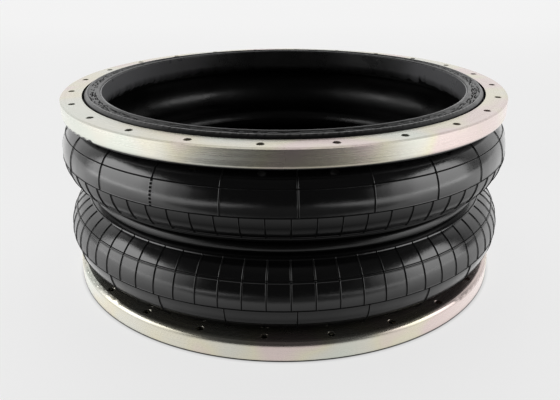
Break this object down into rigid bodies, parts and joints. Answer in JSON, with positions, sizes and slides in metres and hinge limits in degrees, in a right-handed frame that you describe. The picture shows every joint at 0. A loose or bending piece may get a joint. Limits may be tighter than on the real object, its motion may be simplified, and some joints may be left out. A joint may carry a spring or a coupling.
{
  "type": "air bellows actuator",
  "caption": "Double-convolution rubber air bellows with loose bolted steel flange rings, beaded ends and a girdle hoop at the waist, for short-stroke lifting and vibration isolation.",
  "frame": {"origin": "on the axis, in the plane that the bottom ring and bottom bead rest on", "axes": "+Z along the bellows' axis, up; X and Y in the bottom plane"},
  "size_m": [0.487, 0.487, 0.202],
  "materials": {
    "ring_steel": "zinc plated, turned",
    "core_wire": "bronze-coated wire",
    "cover_rubber": "moulded satin",
    "girdle_rubber": "smooth satin",
    "bead_rubber": "knurled matt",
    "liner_rubber": "satin",
    "cord_fabric": "rubberised cord"
  },
  "bodies": {
    "bottom_ring": {"bottom_flange_ring": "ring_steel"},
    "bottom_bead": {"bottom_bead_core": "core_wire", "bottom_bead_filler": "bead_rubber", "bottom_bead_seal": "bead_rubber", "bottom_chafer_strip": "bead_rubber"},
    "lower_wall": {"lower_cover": "cover_rubber", "lower_outer_ply": "cord_fabric", "lower_inner_ply": "cord_fabric", "lower_liner": "liner_rubber"},
    "girdle": {"girdle_hoop": "core_wire", "girdle_jacket": "girdle_rubber"},
    "upper_wall": {"upper_cover": "cover_rubber", "upper_outer_ply": "cord_fabric", "upper_inner_ply": "cord_fabric", "upper_liner": "liner_rubber"},
    "top_bead": {"top_bead_core": "core_wire", "top_bead_filler": "bead_rubber", "top_bead_seal": "bead_rubber", "top_chafer_strip": "bead_rubber"},
    "top_ring": {"top_flange_ring": "ring_steel"}
  },
  "joints": [
    {"name": "bottom_swivel", "type": "hinge", "parent": "bottom_ring", "child": "bottom_bead", "pos_m": [0, 0, 0], "axis": [0, 0, 1], "continuous": true},
    {"name": "stroke", "type": "slide", "parent": "bottom_bead", "child": "lower_wall", "axis": [0, 0, 1], "range_m": [-0.022, 0.017], "stiffness_N_per_m": 20000, "springref_m": 0.00356, "deforming": ["lower_cover", "lower_outer_ply", "lower_inner_ply", "lower_liner"]},
    {"name": "girdle_stroke", "type": "slide", "parent": "lower_wall", "child": "girdle", "axis": [0, 0, 1], "range_m": [-0.022, 0.017], "stiffness_N_per_m": 20000, "springref_m": 0.00356},
    {"name": "upper_wall_stroke", "type": "slide", "parent": "girdle", "child": "upper_wall", "axis": [0, 0, 1], "range_m": [-0.022, 0.017], "stiffness_N_per_m": 20000, "springref_m": 0.00356, "deforming": ["upper_cover", "upper_outer_ply", "upper_inner_ply", "upper_liner"]},
    {"name": "top_bead_stroke", "type": "slide", "parent": "upper_wall", "child": "top_bead", "axis": [0, 0, 1], "range_m": [-0.022, 0.017], "stiffness_N_per_m": 20000, "springref_m": 0.00356},
    {"name": "top_swivel", "type": "hinge", "parent": "top_bead", "child": "top_ring", "pos_m": [0, 0, 0.199], "axis": [0, 0, 1], "continuous": true}
  ],
  "couplings": [
    {"joint": "girdle_stroke", "follows": "stroke", "ratio": 1},
    {"joint": "upper_wall_stroke", "follows": "stroke", "ratio": 1},
    {"joint": "top_bead_stroke", "follows": "stroke", "ratio": 1}
  ]
}
